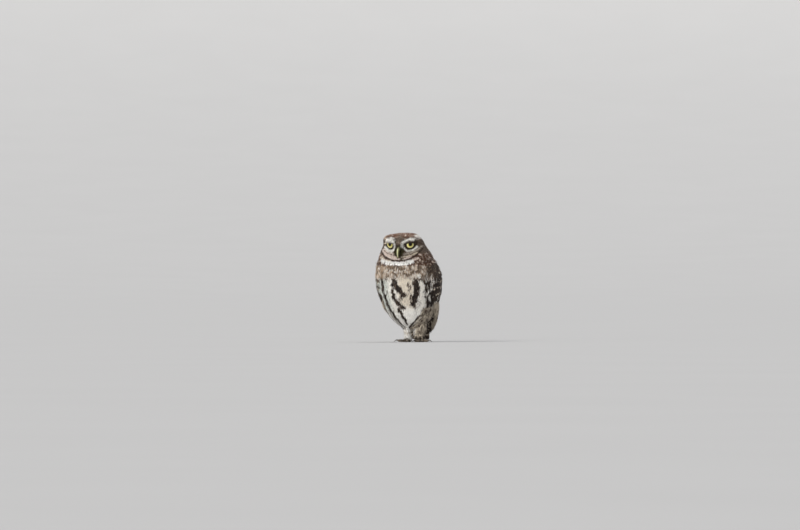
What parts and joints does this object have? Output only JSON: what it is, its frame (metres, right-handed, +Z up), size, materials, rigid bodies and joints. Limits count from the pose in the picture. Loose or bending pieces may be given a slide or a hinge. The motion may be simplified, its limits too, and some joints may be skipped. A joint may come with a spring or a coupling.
{
  "type": "little owl model",
  "caption": "Life-size little owl standing upright, with folded wings, a short tail, feathered legs and clawed toes; a still display model.",
  "frame": {"origin": "centre of the overall footprint, on the floor", "axes": "+Z up, -Y the way the breast faces, +X towards the bird's left"},
  "size_m": [0.1224, 0.1094, 0.2002],
  "materials": {
    "body_feathers": "soft matt feathers, dark umber-brown with white spots above and white with brown streaks below",
    "thigh_feathers": "fluffy matt feathers, cream to grey-brown",
    "leg_feathers": "short matt cream feathers",
    "toe_skin": "dull grey-brown skin with sparse bristles",
    "bill": "semi-gloss pale greenish-yellow horn",
    "claw": "semi-gloss dark horn",
    "eye": "glossy, lemon-yellow iris and black pupil"
  },
  "bodies": {
    "root": {"head": "body_feathers", "neck": "body_feathers", "trunk": "body_feathers", "wing_left": "body_feathers", "wing_right": "body_feathers", "tail": "body_feathers", "thigh_left": "thigh_feathers", "thigh_right": "thigh_feathers", "tarsus_left": "leg_feathers", "tarsus_right": "leg_feathers", "foot_left": "toe_skin", "foot_right": "toe_skin", "toe_left_inner": "toe_skin", "toe_left_middle": "toe_skin", "toe_left_outer": "toe_skin", "toe_left_hind": "toe_skin", "toe_right_inner": "toe_skin", "toe_right_middle": "toe_skin", "toe_right_outer": "toe_skin", "toe_right_hind": "toe_skin", "claw_left_inner": "claw", "claw_left_middle": "claw", "claw_left_outer": "claw", "claw_left_hind": "claw", "claw_right_inner": "claw", "claw_right_middle": "claw", "claw_right_outer": "claw", "claw_right_hind": "claw", "bill_upper": "bill", "bill_lower": "bill", "eye_left": "eye", "eye_right": "eye"}
  },
  "joints": []
}
